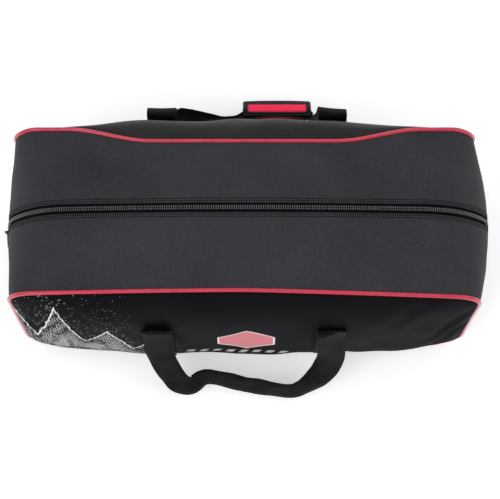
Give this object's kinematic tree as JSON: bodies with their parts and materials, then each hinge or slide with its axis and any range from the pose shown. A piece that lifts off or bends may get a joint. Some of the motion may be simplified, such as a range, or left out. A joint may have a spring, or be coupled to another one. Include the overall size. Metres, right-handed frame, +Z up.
{
  "type": "hockey equipment bag",
  "caption": "Soft rectangular carry bag for hockey equipment, with piped side panels, a zip mouth along the top, a stiff base and webbing handles with a grip wrap.",
  "frame": {"origin": "centre of the flat base's underside", "axes": "+X along the bag's length, -Y to the front panel, +Z up"},
  "size_m": [0.8466, 0.5534, 0.362],
  "materials": {
    "panel_fabric": "near-black woven polyester, matt",
    "gusset_fabric": "charcoal woven polyester, matt",
    "piping": "glossy red corded piping",
    "binding": "black seam binding tape",
    "base_board": "stiff black board",
    "webbing": "ribbed black webbing",
    "zip_tape": "black woven zip tape",
    "zip_coil": "black nylon coil",
    "zip_metal": "black painted zinc",
    "grip_foam": "closed-cell foam",
    "grip_fabric": "black binding and lining",
    "grip_ribbed": "red ribbed fabric",
    "hook_and_loop": "black hook-and-loop"
  },
  "bodies": {
    "bag": {"front_panel": "panel_fabric", "rear_panel": "panel_fabric", "left_end_panel": "gusset_fabric", "right_end_panel": "gusset_fabric", "bottom_panel": "gusset_fabric", "base_board": "base_board", "front_piping": "piping", "rear_piping": "piping", "front_seam_binding": "binding", "rear_seam_binding": "binding", "front_left_strap": "webbing", "front_right_strap": "webbing", "rear_left_strap": "webbing", "rear_right_strap": "webbing", "left_zip_tapes": "zip_tape", "right_zip_tapes": "zip_tape", "left_zip_coils": "zip_coil", "right_zip_coils": "zip_coil", "left_zip_stop": "zip_metal", "right_zip_stop": "zip_metal"},
    "front_flap": {"top_front_panel": "gusset_fabric", "zip_tape_front": "zip_tape", "zip_coil_front": "zip_coil"},
    "rear_flap": {"top_rear_panel": "gusset_fabric", "zip_tape_rear": "zip_tape", "zip_coil_rear": "zip_coil"},
    "front_handle": {"front_handle_webbing": "webbing"},
    "rear_handle": {"rear_handle_webbing": "webbing", "grip_foam_inner": "grip_foam", "grip_foam_outer": "grip_foam", "grip_sleeve": "grip_fabric", "grip_inner_panel": "grip_ribbed", "grip_loop_strip": "hook_and_loop"},
    "grip_closure": {"grip_flap": "grip_fabric", "grip_flap_panel": "grip_ribbed", "grip_hook_strip": "hook_and_loop"},
    "slider": {"zip_slider": "zip_metal"},
    "pull": {"zip_pull": "zip_metal"}
  },
  "joints": [
    {"name": "front_flap_open", "type": "hinge", "parent": "bag", "child": "front_flap", "pos_m": [0, -0.1408, 0.33535], "axis": [1, 0, 0], "range_deg": [0, 72]},
    {"name": "rear_flap_open", "type": "hinge", "parent": "bag", "child": "rear_flap", "pos_m": [0, 0.1408, 0.33535], "axis": [-1, 0, 0], "range_deg": [0, 72]},
    {"name": "front_handle_lift", "type": "hinge", "parent": "bag", "child": "front_handle", "pos_m": [0, -0.1917, 0.264], "axis": [-1, 0, 0], "range_deg": [0, 165]},
    {"name": "rear_handle_lift", "type": "hinge", "parent": "bag", "child": "rear_handle", "pos_m": [0, 0.2047, 0.264], "axis": [1, 0, 0], "range_deg": [0, 162]},
    {"name": "grip_flap_open", "type": "hinge", "parent": "rear_handle", "child": "grip_closure", "pos_m": [0.055, 0.26063, 0.09186], "axis": [1, 0, 0], "range_deg": [0, 100]},
    {"name": "zip_slide", "type": "slide", "parent": "bag", "child": "slider", "axis": [0, 0, 1], "range_m": [0, 0.06]},
    {"name": "zip_pull_lift", "type": "hinge", "parent": "slider", "child": "pull", "pos_m": [-0.422, 0, 0.2168], "axis": [0, 1, 0], "range_deg": [0, 160]}
  ]
}
